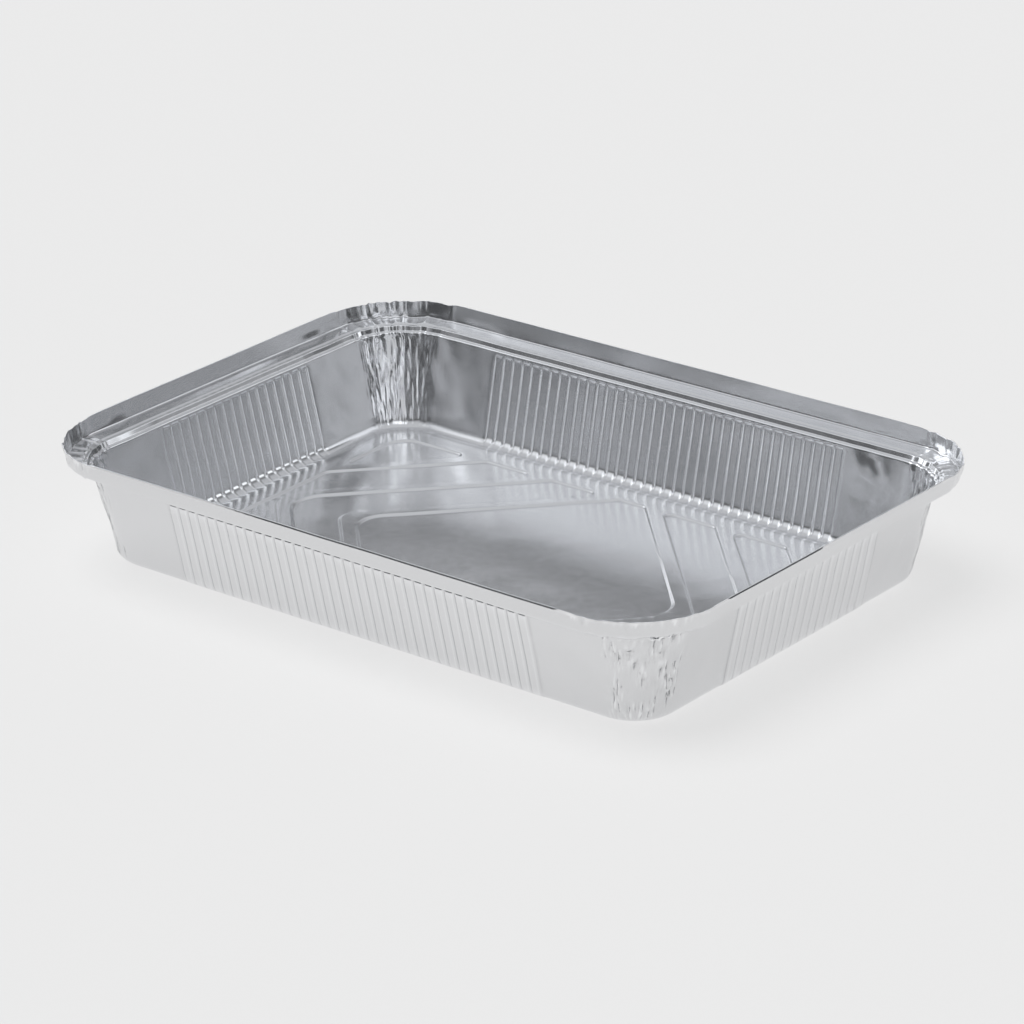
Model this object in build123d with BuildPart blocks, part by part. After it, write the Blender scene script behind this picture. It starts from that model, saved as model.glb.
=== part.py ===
# Oblong catering tray pressed from one sheet of aluminium foil.
#
# Frame: origin on the supporting surface, below the middle of the tray;
# +X along the long side, +Y along the short side, +Z up. Millimetres.
#
# Above the base everything is one section carried round a core rectangle:
# r is the distance out from that rectangle, so the section runs straight
# along the sides and turns a quarter circle about each corner of the core.
# The sheet is what lies between a filled outer form and a filled cavity.
# Both are drawn for one quarter of the tray and mirrored.

import os
from math import hypot, radians, sin, tan

from build123d import *

os.makedirs("parts", exist_ok=True)

# ---------------------------------------------------------------- dimensions
LENGTH = 320.0  # over the hems, along X
WIDTH = 230.0  # over the hems, along Y
HEIGHT = 52.4  # resting surface to the top of the hem
CORNER_R = 39.75  # plan radius of the rim at the corners
FOIL = 0.2  # sheet thickness

CORE_X = LENGTH / 2 - CORNER_R  # half sizes of the core rectangle
CORE_Y = WIDTH / 2 - CORNER_R

RING_Z = 0.9  # underside of the base ring above the resting surface
BASE_FILLET = 5.0  # inside radius where the wall meets the base
WALL_FOOT = 18.3  # r of the plain wall's outer face, produced down to z = 0
WALL_SLOPE = 0.228  # outward lean of the wall, r per z
WALL_TOP_Z = 41.2  # where the drafted wall turns into the shoulder

# section of the inside face above the ribbed wall, as (r, z)
SHOULDER = (28.6, 41.85)
BEAD_IN = (29.4, 43.7)
BEAD_OUT = (30.6, 43.85)
LEDGE_IN = (31.3, 44.35)
LEDGE_OUT = (37.4, 44.6)

HEM_W = 0.9  # sheet folded out and down along the straight rims
HEM_DROP = 1.35
HEM_END_X = 117.0
HEM_END_Y = 71.0
RIM_Z = 52.0  # raw edge of the rim round the corners

# upright flutes, pressed outwards side by side; what is left between them
# stands into the cavity as narrow ribs, level with the plain wall
FLUTE_DEPTH = 0.9
FLUTE_RUN = 0.5  # width of each sloping flank
RIB_WIDTH = 0.9  # plain wall left between two flutes, on the inside face
FLUTE_TOP_Z = 38.7  # where a flute turns back to the plain wall
FLUTES_X = 36  # along each long side
FLUTE_PITCH_X = 5.055
FLUTES_Y = 17  # along each short side
FLUTE_PITCH_Y = 5.35

# base panels, pressed down from the ring and from the bands between them
PANEL_X = 126.0  # half sizes of the panelled field
PANEL_Y = 80.5
PANEL_RUN = 1.1  # plan width of a panel's sloping edge
CHEVRON = 0.957  # dx per dy of the slanting bands
EDGE_0 = 6.9  # x of each slanting edge where it meets y = PANEL_Y
EDGE_1A, EDGE_1B = 14.6, 42.9
EDGE_2A, EDGE_2B = 50.4, 78.9
EDGE_3 = 86.4

# ------------------------------------------------------------------- outlines


def parallel(points, d, closed=False):
    """Mitred parallel of a polyline, d to the right of its direction."""
    n = len(points)
    moved = []
    for i, (x, y) in enumerate(points):
        before = points[i - 1] if i or closed else None
        after = points[(i + 1) % n] if i < n - 1 or closed else None
        sides = []
        for a, b in ((before, (x, y)), ((x, y), after)):
            if a is None or b is None:
                continue
            ux, uy = b[0] - a[0], b[1] - a[1]
            size = hypot(ux, uy)
            sides.append((uy / size, -ux / size))
        nx, ny = sum(s[0] for s in sides), sum(s[1] for s in sides)
        k = len(sides) * d / (nx * nx + ny * ny)
        moved.append((x + nx * k, y + ny * k))
    return moved


def bend(points, i):
    """Positive where a path turns left at points[i]."""
    a, b, c = points[i - 1], points[i], points[(i + 1) % len(points)]
    return (b[0] - a[0]) * (c[1] - b[1]) - (b[1] - a[1]) * (c[0] - b[0])


def corner_arc(a, b, c, radius):
    """Tangent arc of a corner at b, as its start, middle and end."""
    u, v = Vector(*a) - Vector(*b), Vector(*c) - Vector(*b)
    half = radians(u.get_angle(v) / 2)
    u, v = u.normalized(), v.normalized()
    reach = radius / tan(half)
    middle = (u + v).normalized() * (radius / sin(half) - radius)
    return Vector(*b) + u * reach, Vector(*b) + middle, Vector(*b) + v * reach


def draw_path(points, radii):
    """Open path of straight runs joined by tangent arcs; call in a BuildLine."""
    at = Vector(*points[0])
    for i, radius in enumerate(radii, 1):
        start, middle, end = corner_arc(*points[i - 1 : i + 2], radius)
        Line(at, start)
        ThreePointArc(start, middle, end)
        at = end
    Line(at, Vector(*points[-1]))


def draw_loop(points, radii):
    """Closed path of straight runs joined by tangent arcs."""
    n = len(points)
    arcs = [
        corner_arc(points[i - 1], points[i], points[(i + 1) % n], radii[i])
        for i in range(n)
    ]
    for i in range(n):
        ThreePointArc(*arcs[i])
        Line(arcs[i][2], arcs[(i + 1) % n][0])


# ------------------------------------------------------------- wall sections


def wall_r(z):
    """r of the wall's outer face."""
    return WALL_FOOT + WALL_SLOPE * z


ring_top = RING_Z + FOIL
across = FOIL * hypot(1, WALL_SLOPE)  # the sheet measured level
rim_in = CORNER_R - HEM_W
inside = [
    (0.0, ring_top),
    (wall_r(ring_top) - across, ring_top),
    (wall_r(WALL_TOP_Z) - across, WALL_TOP_Z),
    SHOULDER,
    BEAD_IN,
    BEAD_OUT,
    LEDGE_IN,
    LEDGE_OUT,
    (rim_in, HEIGHT),
]
outside = parallel(inside, FOIL)

# where the section turns left its inside face is the hollow one
fillets = [BASE_FILLET, 1.0, 0.5, 0.45, 0.5, 0.9, 0.8]
lefts = [bend(inside, i) > 0 for i in range(1, len(inside) - 1)]
fillets_in = [r if left else r + FOIL for r, left in zip(fillets, lefts)]
fillets_out = [r + FOIL if left else r for r, left in zip(fillets, lefts)]

rim_lean = (rim_in - LEDGE_OUT[0]) / (HEIGHT - LEDGE_OUT[1])


def rim_r(z, outer):
    """r of the rim's faces."""
    r = LEDGE_OUT[0] + rim_lean * (z - LEDGE_OUT[1])
    return r + FOIL * hypot(1, rim_lean) if outer else r


def outer_section(hem):
    fold = HEIGHT - FOIL
    top = fold if hem else RIM_Z
    path = outside[:-1] + [(rim_r(top, True), top)]
    if hem:
        rest = [
            path[-1],
            (CORNER_R - FOIL, fold),
            (CORNER_R - FOIL, HEIGHT - HEM_DROP),
            (CORNER_R, HEIGHT - HEM_DROP),
            (CORNER_R, HEIGHT - 0.3),
            (CORNER_R - 0.25, HEIGHT),
            (0, HEIGHT),
            (0, RING_Z),
        ]
    else:
        rest = [path[-1], (0, top), (0, RING_Z)]
    with BuildLine() as outline:
        draw_path(path, fillets_out)
        Polyline(*rest)
    return outline.line


def inner_section():
    high = HEIGHT + 2
    path = inside[:-1] + [(rim_r(high, False), high)]
    with BuildLine() as outline:
        draw_path(path, fillets_in)
        Polyline(path[-1], (0, high), (0, ring_top))
    return outline.line


# planes of the section: local x is r and local y is the tray's z
LONG_SIDE = Plane(origin=(0, CORE_Y, 0), x_dir=(0, 1, 0), z_dir=(1, 0, 0))
SHORT_SIDE = Plane(origin=(CORE_X, 0, 0), x_dir=(1, 0, 0), z_dir=(0, -1, 0))
CORNER = Plane(origin=(CORE_X, CORE_Y, 0), x_dir=(1, 0, 0), z_dir=(0, -1, 0))
TURN = Axis((CORE_X, CORE_Y, 0), (0, 0, 1))

# ---------------------------------------------------------------------- flutes


def flute_outline(out, inner):
    """Closed (r, z) outline of the strip behind one flute.

    Out is how far the strip's face stands beyond the plain wall.
    """
    path = [
        (12.0, ring_top),
        (wall_r(ring_top) - across + out, ring_top),
        (wall_r(FLUTE_TOP_Z) - across + out, FLUTE_TOP_Z),
        (wall_r(FLUTE_TOP_Z) - across + out - 1.4, FLUTE_TOP_Z + 1.3),
    ]
    radii = [BASE_FILLET, 0.9]
    if not inner:
        path = parallel(path, FOIL)
        radii = [r + FOIL for r in radii]
    with BuildLine() as outline:
        draw_path(path, radii)
        Polyline(path[-1], (12.0, path[-1][1]), path[0])
    return outline.line


def flute_set(inner):
    """Every flute of one quarter, each lofted through four outlines."""
    sunk = 0.05  # the flanks run this far into the plain wall
    side = FLUTE_RUN / FLUTE_DEPTH
    grow = 0.0 if inner else FOIL * (hypot(1, side) - side)
    full = flute_outline(FLUTE_DEPTH, inner)
    none = flute_outline(-sunk, inner)
    with BuildPart() as flutes:
        for plane, pitch, count, first, along in (
            (LONG_SIDE, FLUTE_PITCH_X, FLUTES_X, 0.5, (1, 0, 0)),
            (SHORT_SIDE, FLUTE_PITCH_Y, FLUTES_Y, 0.0, (0, 1, 0)),
        ):
            wide = (pitch - RIB_WIDTH) / 2 + side * sunk + grow
            flat = (pitch - RIB_WIDTH) / 2 - FLUTE_RUN + grow
            for i in range((count + 1) // 2):
                at = pitch * (i + first)
                for offset, line in (
                    (-wide, none),
                    (-flat, full),
                    (flat, full),
                    (wide, none),
                ):
                    move = Vector(*along) * (at + offset)
                    with BuildSketch(Plane(plane.origin + move, plane.x_dir, plane.z_dir)):
                        with BuildLine():
                            add(line)
                        make_face()
                loft(ruled=True)
    return flutes.part


# ---------------------------------------------------------------- base panels


def cross(edge):
    """x where a slanting edge, produced, crosses the middle line."""
    return edge + PANEL_Y * CHEVRON


def panel_outlines():
    """Outline and corner radii of each panel at the level of the ring."""
    y = PANEL_Y
    drop_2 = (PANEL_X - EDGE_2B) / CHEVRON
    drop_3 = (PANEL_X - EDGE_3) / CHEVRON
    yield (
        [
            (EDGE_0, y),
            (cross(EDGE_0), 0),
            (EDGE_0, -y),
            (-EDGE_0, -y),
            (-cross(EDGE_0), 0),
            (-EDGE_0, y),
        ],
        [4, 13.5, 4, 4, 13.5, 4],
    )
    for s in (1, -1):
        yield (
            [
                (s * EDGE_1A, y),
                (s * EDGE_1B, y),
                (s * cross(EDGE_1B), 0),
                (s * EDGE_1B, -y),
                (s * EDGE_1A, -y),
                (s * cross(EDGE_1A), 0),
            ],
            [3, 4, 15.5, 4, 3, 9],
        )
        yield (
            [
                (s * EDGE_2A, y),
                (s * EDGE_2B, y),
                (s * PANEL_X, y - drop_2),
                (s * PANEL_X, drop_2 - y),
                (s * EDGE_2B, -y),
                (s * EDGE_2A, -y),
                (s * cross(EDGE_2A), 0),
            ],
            [3, 4, 5, 5, 4, 3, 15],
        )
        for t in (1, -1):
            yield (
                [
                    (s * EDGE_3, t * y),
                    (s * PANEL_X, t * y),
                    (s * PANEL_X, t * (y - drop_3)),
                ],
                [3, 11, 3],
            )


def panel_set(lift):
    """Pressed panels, from their floors at z = lift up to the ring."""
    with BuildPart() as blocks:
        for points, radii in panel_outlines():
            area = sum(
                a[0] * b[1] - b[0] * a[1]
                for a, b in zip(points, points[1:] + points[:1])
            )
            if area < 0:  # anticlockwise, so that right is outwards
                points, radii = points[::-1], radii[::-1]
            floor = parallel(points, -PANEL_RUN, closed=True)
            floor_radii = [
                r - PANEL_RUN if bend(points, i) > 0 else r + PANEL_RUN
                for i, r in enumerate(radii)
            ]
            with BuildSketch(Plane.XY.offset(RING_Z + lift)):
                with BuildLine():
                    draw_loop(points, radii)
                make_face()
            with BuildSketch(Plane.XY.offset(lift)):
                with BuildLine():
                    draw_loop(floor, floor_radii)
                make_face()
            loft(ruled=True)
    return blocks.part


# ----------------------------------------------------------------------- forms


def filled_form(low, high, section, hem_section=None, flutes=None, pans=None):
    """Whole filled form: a quarter with its flutes, mirrored twice, and panels."""
    with BuildPart() as form:
        with BuildSketch(Plane.XY.offset(low)):
            Rectangle(CORE_X, CORE_Y, align=(Align.MIN, Align.MIN))
        extrude(amount=high - low)
        with BuildSketch(LONG_SIDE):
            with BuildLine():
                add(section)
            make_face()
        extrude(amount=CORE_X)
        with BuildSketch(SHORT_SIDE):
            with BuildLine():
                add(section)
            make_face()
        extrude(amount=-CORE_Y)
        with BuildSketch(CORNER):
            with BuildLine():
                add(section)
            make_face()
        revolve(axis=TURN, revolution_arc=90)
        if hem_section is not None:
            with BuildSketch(LONG_SIDE):
                with BuildLine():
                    add(hem_section)
                make_face()
            extrude(amount=HEM_END_X)
            with BuildSketch(SHORT_SIDE):
                with BuildLine():
                    add(hem_section)
                make_face()
            extrude(amount=-HEM_END_Y)
        add(flutes)
        mirror(about=Plane.YZ)
        mirror(about=Plane.XZ)
        add(pans)
    return form.part


outer_form = filled_form(
    RING_Z,
    RIM_Z,
    outer_section(False),
    outer_section(True),
    flute_set(False),
    panel_set(0.0),
)
cavity = filled_form(
    ring_top,
    HEIGHT + 2,
    inner_section(),
    None,
    flute_set(True),
    panel_set(FOIL),
)

with BuildPart() as tray:
    add(outer_form)
    add(cavity, mode=Mode.SUBTRACT)

tray.part.label = "tray"
print("solids", len(tray.part.solids()), "faces", len(tray.part.faces()))
print("volume", tray.part.volume, "area", tray.part.area)
export_step(tray.part, "parts/tray.step")
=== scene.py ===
import bpy
import numpy as np
from mathutils import Matrix, Vector
from mathutils.geometry import delaunay_2d_cdt


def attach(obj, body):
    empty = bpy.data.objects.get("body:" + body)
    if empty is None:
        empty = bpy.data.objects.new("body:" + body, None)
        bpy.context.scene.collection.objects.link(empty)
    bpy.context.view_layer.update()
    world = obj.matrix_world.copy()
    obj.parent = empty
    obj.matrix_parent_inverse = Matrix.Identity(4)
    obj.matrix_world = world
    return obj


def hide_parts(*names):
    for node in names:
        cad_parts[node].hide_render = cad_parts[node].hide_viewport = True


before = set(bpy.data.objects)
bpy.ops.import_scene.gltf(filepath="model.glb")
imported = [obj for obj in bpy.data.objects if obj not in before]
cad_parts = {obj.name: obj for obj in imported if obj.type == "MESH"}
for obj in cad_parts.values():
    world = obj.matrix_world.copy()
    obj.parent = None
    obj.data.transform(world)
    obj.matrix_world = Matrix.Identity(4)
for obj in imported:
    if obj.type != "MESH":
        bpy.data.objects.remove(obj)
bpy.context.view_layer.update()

# ------------------------------------------------------------ leading sizes
LENGTH, WIDTH, HEIGHT = 320.0, 230.0, 52.4
CORNER_R = 39.75
CORE_X, CORE_Y = LENGTH / 2 - CORNER_R, WIDTH / 2 - CORNER_R
FOIL = 0.2
RING = 1.1  # top of the base ring
FILLET = 5.0
FOOT, SLOPE = 18.1, 0.228  # inside face of the plain wall: r = FOOT + SLOPE z
WALL_TOP = 41.2
SHOULDER = (28.6, 41.85)
BEAD_IN = (29.4, 43.7)
BEAD_OUT = (30.6, 43.85)
LEDGE_IN = (31.3, 44.35)
LEDGE_OUT = (37.4, 44.6)
RIM_IN = CORNER_R - 0.9
LEAN = (RIM_IN - LEDGE_OUT[0]) / (HEIGHT - LEDGE_OUT[1])
DEPTH = 0.9  # flutes, pressed outwards
FLUTE_TOP = 38.7
PITCH = {"x": 5.055, "y": 5.35}
COUNT = {"x": 36, "y": 17}
# light: how bright the studio is by the sine of elevation, then soft panels as
# (direction, inner and outer half angle, gain)
SKY = [(0.0, 0.06), (0.2, 0.09), (0.39, 0.13), (0.5, 0.34), (0.57, 0.46), (0.66, 0.56), (0.80, 0.64), (1.0, 0.68)]
PANELS = [
    ((-0.60, -0.50, 0.63), 8, 26, 0.32),
    ((0.49, -0.36, 0.795), 8, 20, 1.0),
    ((0.77, -0.60, 0.20), 8, 23, 0.66),
    ((0.61, 0.65, 0.45), 4, 15, 1.6),
    ((-0.88, -0.24, 0.42), 8, 26, 2.0),
    ((0.409, 0.714, 0.567), 5, 16, -0.34),
]
SWEEP = 1.25
TINT = (0.97, 0.99, 1.03)
FLOOR_LIGHT, SHADE = 8.7, 1.5
FILL = 0.12
HEM_END = {"back": (-118, 114), "front": (-122, 114), "left": (-72, 68), "right": (-69, 71)}


def rng(seed):
    return np.random.RandomState(seed)


def waves(seed, short, long, count=14):
    """Smooth wandering function of two lengths, about -1 to 1."""
    r = rng(seed)
    size = np.exp(r.uniform(np.log(short), np.log(long), count))
    turn = r.uniform(0, 2 * np.pi, count)
    start = r.uniform(0, 2 * np.pi, count)
    gain = (size / long) ** 0.5
    gain = gain / np.sqrt((gain**2).sum() / 2)

    def f(u, v):
        total = 0.0
        for s, a, b, g in zip(size, turn, start, gain):
            total = total + g * np.cos(2 * np.pi / s * (u * np.cos(a) + v * np.sin(a)) + b)
        return total * 0.6

    return f


def smooth(x, a, b):
    t = np.clip((x - a) / (b - a), 0, 1)
    return t * t * (3 - 2 * t)


# ----------------------------------------------------------------- section


def fillet_path(points, radii, steps):
    """Open polyline with rounded corners, as an array of points."""
    out = [np.array(points[0], float)]
    for i, (radius, n) in enumerate(zip(radii, steps), 1):
        a, b, c = (np.array(p, float) for p in points[i - 1 : i + 2])
        u, v = (a - b) / np.linalg.norm(a - b), (c - b) / np.linalg.norm(c - b)
        half = np.arccos(np.clip(u @ v, -1, 1)) / 2
        reach = radius / np.tan(half)
        start, end = b + u * reach, b + v * reach
        middle = (u + v) / np.linalg.norm(u + v) * (radius / np.sin(half)) + b
        p, q = start - middle, end - middle
        turn = np.arctan2(p[0] * q[1] - p[1] * q[0], p @ q)
        for t in np.linspace(0, 1, n):
            w = turn * t
            out.append(middle + np.array([p[0] * np.cos(w) - p[1] * np.sin(w), p[0] * np.sin(w) + p[1] * np.cos(w)]))
    out.append(np.array(points[-1], float))
    return np.array(out)


def wall_r(z):
    return FOOT + SLOPE * z


corner_points = [
    (11.5, RING),
    (wall_r(RING), RING),
    (wall_r(WALL_TOP), WALL_TOP),
    SHOULDER,
    BEAD_IN,
    BEAD_OUT,
    LEDGE_IN,
    LEDGE_OUT,
    (LEDGE_OUT[0] + LEAN * 1.6, LEDGE_OUT[1] + 1.6),
]
rough = fillet_path(corner_points, [FILLET, 0.9, 0.5, 0.42, 0.4, 0.5, 0.8], [8, 4, 3, 4, 3, 3, 4])
# rows up the drafted wall, closer together where the flutes end
foot_rows, top_rows = rough[:9], rough[9:]
wall_z = list(np.arange(6.4, 37.5, 1.85)) + [38.3, 38.8, 39.25, 39.7, 40.2]
wall_rows = np.array([(wall_r(z), z) for z in wall_z])
k = len(top_rows) - 5  # the ledge lies between rows k - 1 and k
flat = [top_rows[k - 1] + (top_rows[k] - top_rows[k - 1]) * t for t in (0.3, 0.62)]
section = np.vstack([foot_rows, wall_rows, top_rows[:k], flat, top_rows[k:]])

# ------------------------------------------------- columns round the outline


def side_stops(axis, half):
    """Places of the columns along a straight side, from its middle outwards."""
    pitch, count = PITCH[axis], COUNT[axis]
    stops = []
    for i in range(count):
        mid = pitch * (i - (count - 1) / 2)
        edge = pitch / 2 - 0.22
        stops += [mid + d for d in (-edge, -edge + 0.36, -edge + 0.72, -edge + 1.1, edge - 1.1, edge - 0.72, edge - 0.36, edge)]
    end = stops[-1]
    n = int(round((half - end) / 1.9))
    plain = list(np.linspace(end, half, n + 1)[1:])
    return np.array([-p for p in reversed(plain)] + stops + plain)


def flute(axis, t):
    pitch, count = PITCH[axis], COUNT[axis]
    half = (count - 1) / 2
    k = np.clip(np.round(t / pitch + half), 0, count - 1) - half
    d = np.abs(t - k * pitch)
    edge = pitch / 2 - 0.22
    return 1 - np.clip((d - edge + 0.72) / 0.72, 0, 1)


CORNER_COLS = 96
cols = []  # (side, t, core x, core y, nx, ny, flute share)


def add_side(name, axis, sign, reverse):
    half = CORE_X if axis == "x" else CORE_Y
    t = side_stops(axis, half)
    if reverse:
        t = t[::-1]
    for v in t:
        f = float(flute(axis, v))
        if axis == "x":
            cols.append((name, v, v, sign * CORE_Y, 0.0, sign, f))
        else:
            cols.append((name, v, sign * CORE_X, v, sign, 0.0, f))


def add_corner(name, sx, sy, a0):
    for i in range(1, CORNER_COLS):
        a = np.radians(a0 + 90 * i / CORNER_COLS)
        cols.append((name, 90 * i / CORNER_COLS, sx * CORE_X, sy * CORE_Y, np.cos(a), np.sin(a), 0.0))


add_side("right", "y", 1, False)
add_corner("ne", 1, 1, 0)
add_side("back", "x", 1, True)
add_corner("nw", -1, 1, 90)
add_side("left", "y", -1, True)
add_corner("sw", -1, -1, 180)
add_side("front", "x", -1, False)
add_corner("se", 1, -1, 270)
side = np.array([c[0] for c in cols])
T = np.array([c[1] for c in cols])
CX, CY, NX, NY, FL = (np.array([c[k] for c in cols], float) for k in (2, 3, 4, 5, 6))
N = len(cols)
in_corner = np.isin(side, ["ne", "nw", "sw", "se"])
# arc length along the outline at mid height, for patterns that run on
STEP = np.hypot(np.roll(CX + 30 * NX, -1) - (CX + 30 * NX), np.roll(CY + 30 * NY, -1) - (CY + 30 * NY))
ARC = np.concatenate([[0], np.cumsum(STEP)[:-1]])

# ------------------------------------------------------------------ creases


def creases(seed, count, narrow, wide, lean=6.0):
    """Folds of one corner: a function of angle (degrees) and height share."""
    r = rng(seed)
    at = np.sort(r.uniform(3, 87, count))
    width = r.uniform(narrow, wide, count)
    gain = r.uniform(0.35, 1.0, count) * r.choice([-1, 1], count, p=[0.45, 0.55])
    low = r.uniform(0.0, 0.75, count)
    drift = r.uniform(-lean, lean, count)

    def f(a, h):
        total = 0.0
        for p, w, g, l, d in zip(at, width, gain, low, drift):
            x = (a - p - d * (h - 1)) / w
            total = total + g * np.exp(-x * x) * smooth(h, l, l + 0.3)
        return total

    return f


SEED = {"ne": 11, "nw": 23, "sw": 37, "se": 41}
fold = {k: creases(s, 13, 1.6, 4.2) for k, s in SEED.items()}
pleat = {k: creases(s + 100, 34, 0.9, 1.9, 2.0) for k, s in SEED.items()}


def crush(seed, tall):
    """Sharp crumples, a function of girth and height in mm; tall draws them out upright."""
    a, b, c = waves(seed, 3.6, 8.5, 18), waves(seed + 1, 2.2, 4.8, 18), waves(seed + 2, 14, 40, 8)
    e = waves(seed + 3, 7, 18, 10)

    def f(u, z):
        bent = u + 0.9 * c(u, z)
        one = 1 - 2.2 * np.abs(a(bent, z / tall))
        two = 1 - 2.2 * np.abs(b(bent, z / (0.8 * tall)))
        patch = 0.35 + 0.65 * smooth(e(u, z * 0.5), -0.6, 0.2)
        return (np.clip(one, -1, 1) * 0.6 + np.clip(two, -1, 1) * 0.4) * patch

    return f


crumple_at = {k: crush(s + 300, 1.7 if k == "se" else 4.0) for k, s in SEED.items()}
sway = waves(5, 25, 110)
dent = waves(6, 9, 45)
ripple = waves(7, 3.5, 11)
rimwave = waves(8, 20, 90)


def edge_fade(t, half):
    return smooth(np.abs(t), half - 34, half - 8)


def body_point(r, z, row_fl):
    """Positions round the outline of one section row."""
    h = np.clip((z - 2) / 42, 0, 1)
    dr = np.zeros(N)
    dz = np.zeros(N)
    dr += DEPTH * row_fl * FL
    up = smooth(h, 0.0, 0.25)
    dr += 0.14 * sway(ARC, np.full(N, z)) * up
    plain = np.where(np.isin(side, ["back", "front"]), smooth(np.abs(T), 89, 97), smooth(np.abs(T), 44, 52))
    plain = np.where(in_corner, 1.0, plain)
    dr += 0.20 * dent(ARC, np.full(N, z)) * plain * up
    # creases in the plain end of the back wall
    m = (side == "back") & (T > 94)
    here = smooth(T[m], 96, 101) * (1 - smooth(T[m], 113, 119)) * smooth(z, 14, 19) * (1 - smooth(z, 34, 38))
    dr[m] += 0.34 * crumple_at["ne"](T[m], np.full(m.sum(), 3.2 * z)) * here
    for k in SEED:
        m = side == k
        a = T[m]
        ends = smooth(a, 0, 8) * smooth(90 - a, 0, 8)
        mid = smooth(a, 3, 16) * smooth(90 - a, 3, 16)
        amount = 0.05 + 0.22 * smooth(h, 0.15, 0.95)
        dr[m] += amount * fold[k](a, h) * ends * smooth(h, 0.02, 0.2)
        girth = np.radians(a) * 27.0
        dr[m] += (1.0 if k == "se" else 0.48) * crumple_at[k](girth, np.full(m.sum(), z)) * mid * smooth(z, 1.5, 5.5) * (1 - smooth(z, 41.0, 44.0))
        if z > 40.5:
            on_ledge = smooth(r, 29.0, 31.5)
            dr[m] += 0.22 * pleat[k](a, 1.0) * ends * (1 - 0.7 * on_ledge)
            dz[m] += 0.34 * pleat[k](a, 1.0) * ends * on_ledge
            dz[m] += 0.12 * ripple(a * 0.75, np.full(m.sum(), r)) * ends * on_ledge
    rr = r + dr
    return np.stack([CX + rr * NX, CY + rr * NY, z + dz], 1)


def flute_share(z):
    return float(1 - smooth(np.array(z), FLUTE_TOP - 0.5, 40.1)) if z > 30 else 1.0


body = np.array([body_point(r, z, flute_share(z) * (0.3 + 0.7 * float(smooth(np.array(z), RING, 4.5)))) for r, z in section])

# --------------------------------------------------------------- rim and hem


def hem_share():
    """1 where the hem is folded over, 0 round the corners."""
    s = np.zeros(N)
    for k, (a, b) in HEM_END.items():
        m = side == k
        s[m] = smooth(T[m], a - 1.0, a + 1.0) * (1 - smooth(T[m], b - 1.0, b + 1.0))
    return s


HEM = hem_share()
foot_line = body[-1]


def flap_tilt():
    """How far the hem's flap stands off upright, in degrees."""
    tilt = np.full(N, 6.0)
    m = side == "front"
    tilt[m] = 7 + 19 * smooth(T[m], -90, 5)
    m = side == "right"
    tilt[m] = 26 - 21 * smooth(T[m], -12, -6)
    m = np.isin(side, ["back", "left"])
    tilt[m] = 14
    return tilt


def rim_rows():
    rows = []
    top = HEIGHT - 0.3
    low = section[-1][1]
    ends = np.where(in_corner, smooth(T, 0, 7) * smooth(90 - T, 0, 7), 0.0)
    ruck = np.zeros(N)
    for k in SEED:
        m = side == k
        ruck[m] = 0.30 * pleat[k](T[m], 1.0) + 0.22 * fold[k](T[m], 1.0) + 0.16 * ripple(T[m] * 0.8, T[m] * 0)
    jag = np.clip(ruck + 0.25 * ripple(ARC * 1.3, ARC * 0 + 9), -1, 1)
    corner_top = (-0.55 + 0.55 * jag) * ends
    for share in (0.0, 0.2, 0.45, 0.74, 1.0):
        z = low + (top - low) * share
        r = LEDGE_OUT[0] + LEAN * (z - LEDGE_OUT[1])
        wob = 0.10 * rimwave(ARC, np.full(N, z)) * share
        rr = r + wob + ruck * ends * 1.2 * smooth(np.array(share), 0.0, 0.5)
        zz = z + corner_top * share
        p = np.stack([CX + rr * NX, CY + rr * NY, zz], 1)
        if share == 0.0:
            p = foot_line.copy()
        rows.append(p)
    base = rows[-1]
    out_dir = np.stack([NX, NY, np.zeros(N)], 1)
    up_dir = np.array([0.0, 0.0, 1.0])
    fold_w = 0.34 * HEM + 0.12 * (1 - HEM)
    for a in (35, 70, 110, 145, 180):
        w = np.radians(a)
        p = base + out_dir * (fold_w / 2 * (1 - np.cos(w)))[:, None]
        p = p + up_dir * (fold_w * 0.62 * np.sin(w))[:, None]
        rows.append(p)
    start = rows[-1]
    tilt = np.radians(flap_tilt())
    drop = 1.15 * HEM + (0.30 + 0.35 * np.abs(ripple(ARC * 0.9, ARC * 0 + 3))) * (1 - HEM)
    tilt = tilt * HEM
    for a in (0.08, 0.42, 0.5, 0.9, 1.0):
        out = drop * (min(a, 0.45) * np.tan(tilt) + max(a - 0.45, 0.0) * 0.05)
        p = start + out_dir * out[:, None] - up_dir * (drop * a)[:, None]
        rows.append(p)
    rows.append(rows[-1] - out_dir * 0.15)
    return np.array(rows)


rim = rim_rows()

# ------------------------------------------------------------------ base


PX, PY = 126.0, 80.5
CHEV = 0.957
E0, E1A, E1B, E2A, E2B, E3 = 6.9, 14.6, 42.9, 50.4, 78.9, 86.4


def cross(e):
    return e + PY * CHEV


def panels():
    y = PY
    d2, d3 = (PX - E2B) / CHEV, (PX - E3) / CHEV
    yield [(E0, y), (cross(E0), 0), (E0, -y), (-E0, -y), (-cross(E0), 0), (-E0, y)], [4, 13.5, 4, 4, 13.5, 4]
    for s in (1, -1):
        yield [
            (s * E1A, y), (s * E1B, y), (s * cross(E1B), 0), (s * E1B, -y), (s * E1A, -y), (s * cross(E1A), 0),
        ], [3, 4, 15.5, 4, 3, 9]
        yield [
            (s * E2A, y), (s * E2B, y), (s * PX, y - d2), (s * PX, d2 - y), (s * E2B, -y), (s * E2A, -y),
            (s * cross(E2A), 0),
        ], [3, 4, 5, 5, 4, 3, 15]
        for t in (1, -1):
            yield [(s * E3, t * y), (s * PX, t * y), (s * PX, t * (y - d3))], [3, 11, 3]


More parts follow.
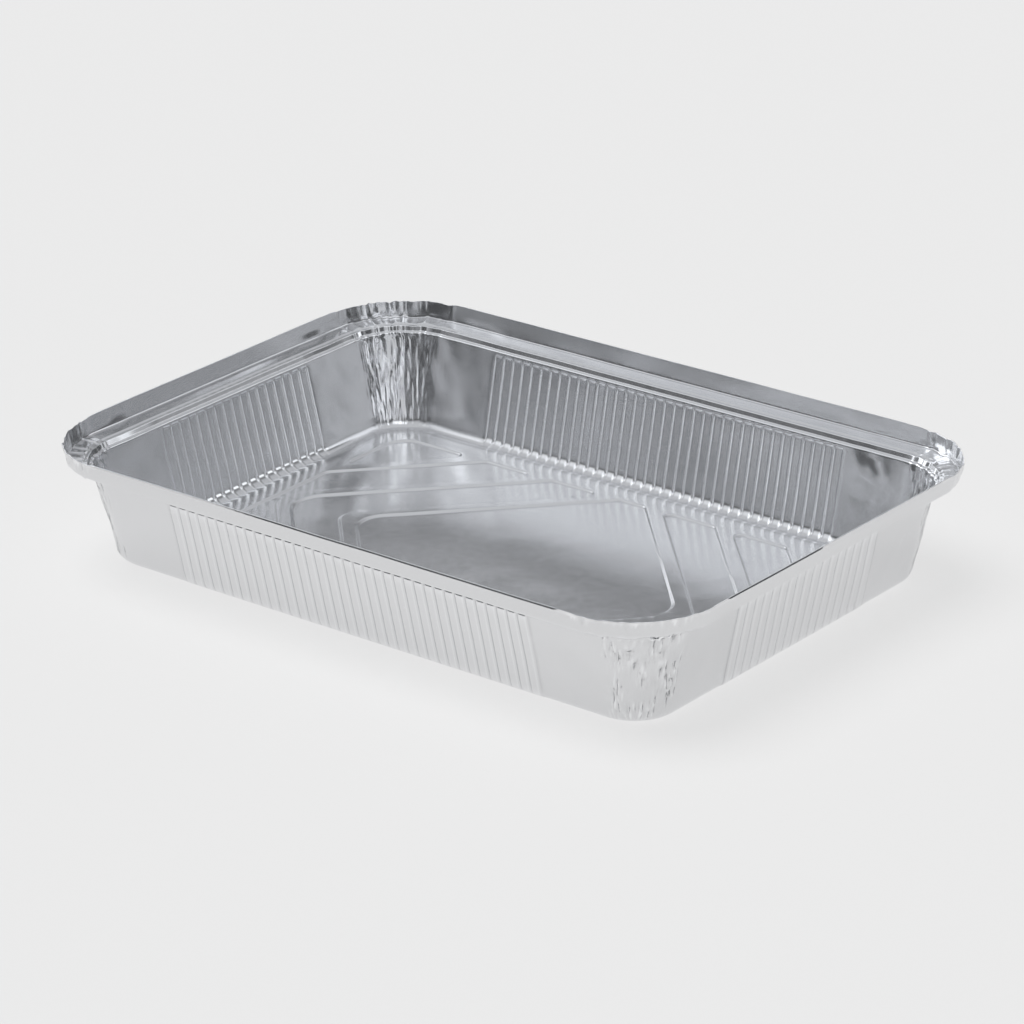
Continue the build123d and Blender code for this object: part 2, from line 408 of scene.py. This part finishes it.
def loop_points(points, radii, inset, step):
    """Closed rounded outline moved inwards by inset; anticlockwise."""
    p = np.array(points, float)
    radii = list(radii)
    q = np.roll(p, -1, 0)
    if (p[:, 0] * q[:, 1] - q[:, 0] * p[:, 1]).sum() < 0:
        p, radii = p[::-1], radii[::-1]
    n = len(p)
    e = np.roll(p, -1, 0) - p
    e /= np.linalg.norm(e, axis=1)[:, None]
    inward = np.stack([-e[:, 1], e[:, 0]], 1)
    moved = []
    for i in range(n):
        a, b = inward[i - 1], inward[i]
        s = a + b
        moved.append(p[i] + s * (2 * inset / (s @ s)))
    moved = np.array(moved)
    out = []
    for i in range(n):
        a, b, c = moved[i - 1], moved[i], moved[(i + 1) % n]
        turn = e[i - 1][0] * e[i][1] - e[i - 1][1] * e[i][0]
        radius = radii[i] - inset if turn > 0 else radii[i] + inset
        u, v = (a - b) / np.linalg.norm(a - b), (c - b) / np.linalg.norm(c - b)
        half = np.arccos(np.clip(u @ v, -1, 1)) / 2
        reach = radius / np.tan(half)
        s, t = b + u * reach, b + v * reach
        mid = b + (u + v) / np.linalg.norm(u + v) * radius / np.sin(half)
        k = max(3, int(np.ceil(radius * (np.pi - 2 * half) / (step * 0.7))))
        g, h = s - mid, t - mid
        w = np.arctan2(g[0] * h[1] - g[1] * h[0], g @ h)
        arc = [mid + np.array([g[0] * np.cos(w * x) - g[1] * np.sin(w * x), g[0] * np.sin(w * x) + g[1] * np.cos(w * x)]) for x in np.linspace(0, 1, k + 1)]
        out.append((arc, s, t))
    pts = []
    for i in range(n):
        arc = out[i][0]
        pts += arc
        start, end = arc[-1], out[(i + 1) % n][0][0]
        m = int(np.linalg.norm(end - start) // step)
        for j in range(1, m):
            pts.append(start + (end - start) * j / m)
    return np.array(pts)


# height across a panel's edge: (distance inside the outline, height)
EDGE = [(-0.35, RING), (0.05, RING - 0.10), (0.4, RING - 0.37), (0.75, RING - 0.66), (1.1, 0.26), (1.5, 0.2)]
sag = waves(51, 60, 160)
crumple = waves(52, 14, 50)
tiny = waves(53, 5, 14)


def base_mesh():
    verts, heights, edges = [], [], []

    def loop(points, z):
        start = len(verts)
        n = len(points)
        verts.extend(points)
        heights.extend([z] * n)
        edges.extend((start + i, start + (i + 1) % n) for i in range(n))

    first = body[0][:, :2]
    loop(first, RING)
    fields = []
    for points, radii in panels():
        for inset, z in EDGE:
            loop(loop_points(points, radii, inset, 2.4), z)
        fields.append(loop_points(points, radii, 1.5, 4.0))
    # interior points
    r = rng(77)
    step = 4.6
    gx = np.arange(-CORE_X - 12, CORE_X + 12, step)
    gy = np.arange(-CORE_Y - 12, CORE_Y + 12, step)
    G = np.stack(np.meshgrid(gx, gy), -1).reshape(-1, 2)
    G = G + r.uniform(-0.8, 0.8, G.shape)
    A = np.array(verts)
    # keep those inside the outline and clear of every loop
    dx = np.maximum(np.abs(G[:, 0]) - CORE_X, 0)
    dy = np.maximum(np.abs(G[:, 1]) - CORE_Y, 0)
    G = G[np.hypot(dx, dy) < 9.5]
    keep = np.array([np.min((A[:, 0] - g[0]) ** 2 + (A[:, 1] - g[1]) ** 2) > 2.0**2 for g in G])
    G = G[keep]

    def inside(q, poly):
        x, y = poly[:, 0], poly[:, 1]
        x2, y2 = np.roll(x, -1), np.roll(y, -1)
        c = ((y > q[1]) != (y2 > q[1])) & (q[0] < (x2 - x) * (q[1] - y) / (y2 - y + 1e-12) + x)
        return c.sum() % 2 == 1

    for g in G:
        z = RING
        for poly in fields:
            if inside(g, poly):
                z = 0.2
                break
        verts.append(g)
        heights.append(z)
    V = np.array(verts)
    Z = np.array(heights)
    co, _, faces, orig, *_ = delaunay_2d_cdt([Vector((a, b)) for a, b in V], edges, [], 1, 1e-5)
    co = np.array([tuple(c) for c in co])
    z = np.array([Z[o[0]] if len(o) else RING for o in orig])
    return co, z, [tuple(f) for f in faces]


def panel_depth(x, y):
    """Distance of a point inside its panel."""
    return np.minimum(PX - np.abs(x), PY - np.abs(y))


base_xy, base_z, base_faces = base_mesh()


def base_relief(x, y):
    away = smooth(np.minimum(PX + 3 - np.abs(x), PY + 3 - np.abs(y)), 0, 16)
    return (0.22 * sag(x, y) + 0.07 * crumple(x, y) + 0.012 * tiny(x, y)) * away


low = base_relief(base_xy[:, 0], base_xy[:, 1])
base_co = np.stack([base_xy[:, 0], base_xy[:, 1], np.maximum(base_z + low, 0.2)], 1)

# ----------------------------------------------------------------- materials


def aluminium():
    mat = bpy.data.materials.new("foil")
    mat.use_nodes = True
    nt = mat.node_tree
    bsdf = nt.nodes["Principled BSDF"]
    bsdf.inputs["Metallic"].default_value = 1.0
    # painted shade and painted highlight: by pointiness, the base colour darkens in the hollows of folds and flutes
    # and lightens along their crests
    shape = nt.nodes.new("ShaderNodeNewGeometry")
    hollow_shade_range = nt.nodes.new("ShaderNodeMapRange")
    hollow_shade_range.inputs["From Min"].default_value = 0.40
    hollow_shade_range.inputs["From Max"].default_value = 0.60
    hollow_shade_range.inputs["To Min"].default_value = 0.0
    hollow_shade_range.inputs["To Max"].default_value = 1.0
    nt.links.new(shape.outputs["Pointiness"], hollow_shade_range.inputs["Value"])
    shade_and_highlight_ramp = nt.nodes.new("ShaderNodeValToRGB")
    nt.links.new(hollow_shade_range.outputs["Result"], shade_and_highlight_ramp.inputs["Fac"])
    el = shade_and_highlight_ramp.color_ramp.elements
    while len(el) < 4:
        el.new(0.5)
    for e, (p, v) in zip(el, [(0.0, 0.40), (0.43, 0.75), (0.56, 0.75), (0.80, 0.91)]):
        e.position = p
        e.color = (v * 0.993, v, v * 1.012, 1)
    # painted shade in the hollows and painted highlight on the crests go into the base colour
    nt.links.new(shade_and_highlight_ramp.outputs["Color"], bsdf.inputs["Base Color"])
    coord = nt.nodes.new("ShaderNodeTexCoord")
    fine = nt.nodes.new("ShaderNodeTexNoise")
    fine.inputs["Scale"].default_value = 260.0
    fine.inputs["Detail"].default_value = 4.0
    nt.links.new(coord.outputs["Object"], fine.inputs["Vector"])
    spread = nt.nodes.new("ShaderNodeMapRange")
    spread.inputs["From Min"].default_value = 0.3
    spread.inputs["From Max"].default_value = 0.7
    spread.inputs["To Min"].default_value = 0.17
    spread.inputs["To Max"].default_value = 0.22
    nt.links.new(fine.outputs["Fac"], spread.inputs["Value"])
    nt.links.new(spread.outputs["Result"], bsdf.inputs["Roughness"])
    wrinkle = nt.nodes.new("ShaderNodeTexNoise")
    wrinkle.inputs["Scale"].default_value = 420.0
    wrinkle.inputs["Detail"].default_value = 3.0
    nt.links.new(coord.outputs["Object"], wrinkle.inputs["Vector"])
    bump = nt.nodes.new("ShaderNodeBump")
    bump.inputs["Strength"].default_value = 0.06
    bump.inputs["Distance"].default_value = 0.00003
    nt.links.new(wrinkle.outputs["Fac"], bump.inputs["Height"])
    nt.links.new(bump.outputs["Normal"], bsdf.inputs["Normal"])
    return mat


FOIL_MAT = aluminium()


def make(name, co, faces, thick=0.18):
    mesh = bpy.data.meshes.new(name)
    mesh.from_pydata([tuple(p) for p in co * 0.001], [], faces)
    mesh.update()
    mesh.polygons.foreach_set("use_smooth", [True] * len(mesh.polygons))
    mesh.materials.append(FOIL_MAT)
    # cut edges are sharp, so the sheet's faces keep their own normals
    shared = {}
    for f in faces:
        for a, b in zip(f, f[1:] + f[:1]):
            key = (a, b) if a < b else (b, a)
            shared[key] = shared.get(key, 0) + 1
    cut = [shared[tuple(sorted(e.vertices))] == 1 for e in mesh.edges]
    mesh.attributes.new("sharp_edge", "BOOLEAN", "EDGE").data.foreach_set("value", cut)
    ob = bpy.data.objects.new(name, mesh)
    bpy.context.scene.collection.objects.link(ob)
    if thick:
        mod = ob.modifiers.new("sheet", "SOLIDIFY")
        mod.thickness = thick * 0.001
        mod.offset = -1.0
        mod.use_even_offset = False
        mod.use_quality_normals = False
        mod.use_rim = False
    even = ob.modifiers.new("normals", "WEIGHTED_NORMAL")
    even.mode = "FACE_AREA"
    even.weight = 50
    even.keep_sharp = True
    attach(ob, "root")
    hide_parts("tray")
    return ob


def grid_faces(rows, n):
    faces = []
    for i in range(rows - 1):
        for j in range(n):
            k = (j + 1) % n
            # inside face looks into the tray
            faces.append((i * n + j, (i + 1) * n + j, (i + 1) * n + k, i * n + k))
    return faces


split = len(foot_rows) + len(wall_rows) + 3
wall_ob = make("tray_wall", body[: split + 1].reshape(-1, 3), grid_faces(split + 1, N))
upper = np.concatenate([body[split:], rim[1:]])
rim_ob = make("tray_rim", upper.reshape(-1, 3), grid_faces(len(upper), N), 0.15)
base_ob = make("tray_base", base_co, base_faces)

# -------------------------------------------------------------- floor, light

bpy.ops.mesh.primitive_plane_add(size=16.0, location=(0, 0, 0))
floor = bpy.context.object
floor.name = "floor"
fm = bpy.data.materials.new("floor")
fm.use_nodes = True
fb = fm.node_tree.nodes["Principled BSDF"]
fb.inputs["Base Color"].default_value = (0.25, 0.25, 0.25, 1)
fb.inputs["Roughness"].default_value = 1.0
fb.inputs["Specular IOR Level"].default_value = 0.0
floor.data.materials.append(fm)

# an even light on the floor, and a studio of soft panels for the metal
sun = bpy.data.lights.new("overhead", "SUN")
sun.energy = FLOOR_LIGHT
sun.angle = 0.6
sun.use_shadow = False
sun_ob = bpy.data.objects.new("overhead", sun)
sun_ob.visible_glossy = False
bpy.context.scene.collection.objects.link(sun_ob)
shade = bpy.data.lights.new("contact", "SUN")
shade.energy = SHADE
shade.angle = 0.75
shade_ob = bpy.data.objects.new("contact", shade)
shade_ob.visible_glossy = False
shade_ob.rotation_euler = (0.16, -0.28, 0.0)
bpy.context.scene.collection.objects.link(shade_ob)

world = bpy.data.worlds.new("studio")
bpy.context.scene.world = world
world.use_nodes = True
world.cycles.sampling_method = "NONE"
nt = world.node_tree
bg = nt.nodes["Background"]
tc = nt.nodes.new("ShaderNodeTexCoord")
sep = nt.nodes.new("ShaderNodeSeparateXYZ")
nt.links.new(tc.outputs["Generated"], sep.inputs[0])


def value_ramp(source, stops, scale):
    ramp = nt.nodes.new("ShaderNodeValToRGB")
    nt.links.new(source, ramp.inputs["Fac"])
    el = ramp.color_ramp.elements
    while len(el) < len(stops):
        el.new(0.5)
    for e, (p, v) in zip(el, stops):
        e.position = p
        e.color = (v / scale, v / scale, v / scale, 1)
    return ramp.outputs["Color"]


def math_node(kind, a, b):
    n = nt.nodes.new("ShaderNodeMath")
    n.operation = kind
    for k, v in enumerate((a, b)):
        if isinstance(v, (int, float)):
            n.inputs[k].default_value = v
        else:
            nt.links.new(v, n.inputs[k])
    return n.outputs[0]


def lobe(direction, inner, outer, gain):
    """Soft panel of light round a direction; angles in degrees."""
    d = np.array(direction, float)
    d /= np.linalg.norm(d)
    dot = nt.nodes.new("ShaderNodeVectorMath")
    dot.operation = "DOT_PRODUCT"
    nt.links.new(tc.outputs["Generated"], dot.inputs[0])
    dot.inputs[1].default_value = tuple(d)
    mr = nt.nodes.new("ShaderNodeMapRange")
    mr.interpolation_type = "SMOOTHSTEP"
    mr.inputs["From Min"].default_value = float(np.cos(np.radians(outer)))
    mr.inputs["From Max"].default_value = float(np.cos(np.radians(inner)))
    mr.inputs["To Min"].default_value = 0.0
    mr.inputs["To Max"].default_value = gain
    nt.links.new(dot.outputs["Value"], mr.inputs["Value"])
    return mr.outputs["Result"]


total = math_node("MULTIPLY", value_ramp(sep.outputs["Z"], SKY, 2.0), 2.0)
for direction, inner, outer, gain in PANELS:
    total = math_node("ADD", total, lobe(direction, inner, outer, gain))
low_mask = nt.nodes.new("ShaderNodeMapRange")
low_mask.interpolation_type = "SMOOTHSTEP"
low_mask.inputs["From Min"].default_value = 0.39
low_mask.inputs["From Max"].default_value = 0.31
nt.links.new(sep.outputs["Z"], low_mask.inputs["Value"])
total = math_node("ADD", total, math_node("MULTIPLY", low_mask.outputs["Result"], lobe((-0.61, 0.75, 0.2), 20, 50, SWEEP)))
path = nt.nodes.new("ShaderNodeLightPath")
share = nt.nodes.new("ShaderNodeMapRange")
share.inputs["To Min"].default_value = 1.0
share.inputs["To Max"].default_value = FILL
nt.links.new(path.outputs["Is Diffuse Ray"], share.inputs["Value"])
total = math_node("MULTIPLY", total, share.outputs["Result"])
tint = nt.nodes.new("ShaderNodeVectorMath")
tint.operation = "SCALE"
tint.inputs[0].default_value = TINT
nt.links.new(total, tint.inputs["Scale"])
nt.links.new(tint.outputs["Vector"], bg.inputs["Color"])
bg.inputs["Strength"].default_value = 1.0

# -------------------------------------------------------------------- camera

az, elv, roll = np.radians([39.257, 22.676, 1.095])
dist, f_px, sx, sy = 1841.9, 4563.1, 0.147, -21.943
back = np.array([np.sin(az) * np.cos(elv), -np.cos(az) * np.cos(elv), np.sin(elv)])
xc = np.array([np.cos(az), np.sin(az), 0])
down = np.cross(-back, xc)
X = xc * np.cos(roll) + down * np.sin(roll)
Y = -xc * np.sin(roll) + down * np.cos(roll)
pos = (back * dist + X * sx + Y * sy) * 0.001
cam = bpy.data.cameras.new("camera")
cam.sensor_width = 36.0
cam.lens = f_px * 36.0 / 1024.0
cam.clip_end = 60.0
cam_ob = bpy.data.objects.new("camera", cam)
bpy.context.scene.collection.objects.link(cam_ob)
m = np.eye(4)
m[:3, 0], m[:3, 1], m[:3, 2], m[:3, 3] = X, -Y, back, pos
cam_ob.matrix_world = Matrix(m.tolist())
bpy.context.scene.camera = cam_ob
bpy.context.scene.view_settings.view_transform = "Standard"
bpy.context.scene.view_settings.look = "None"
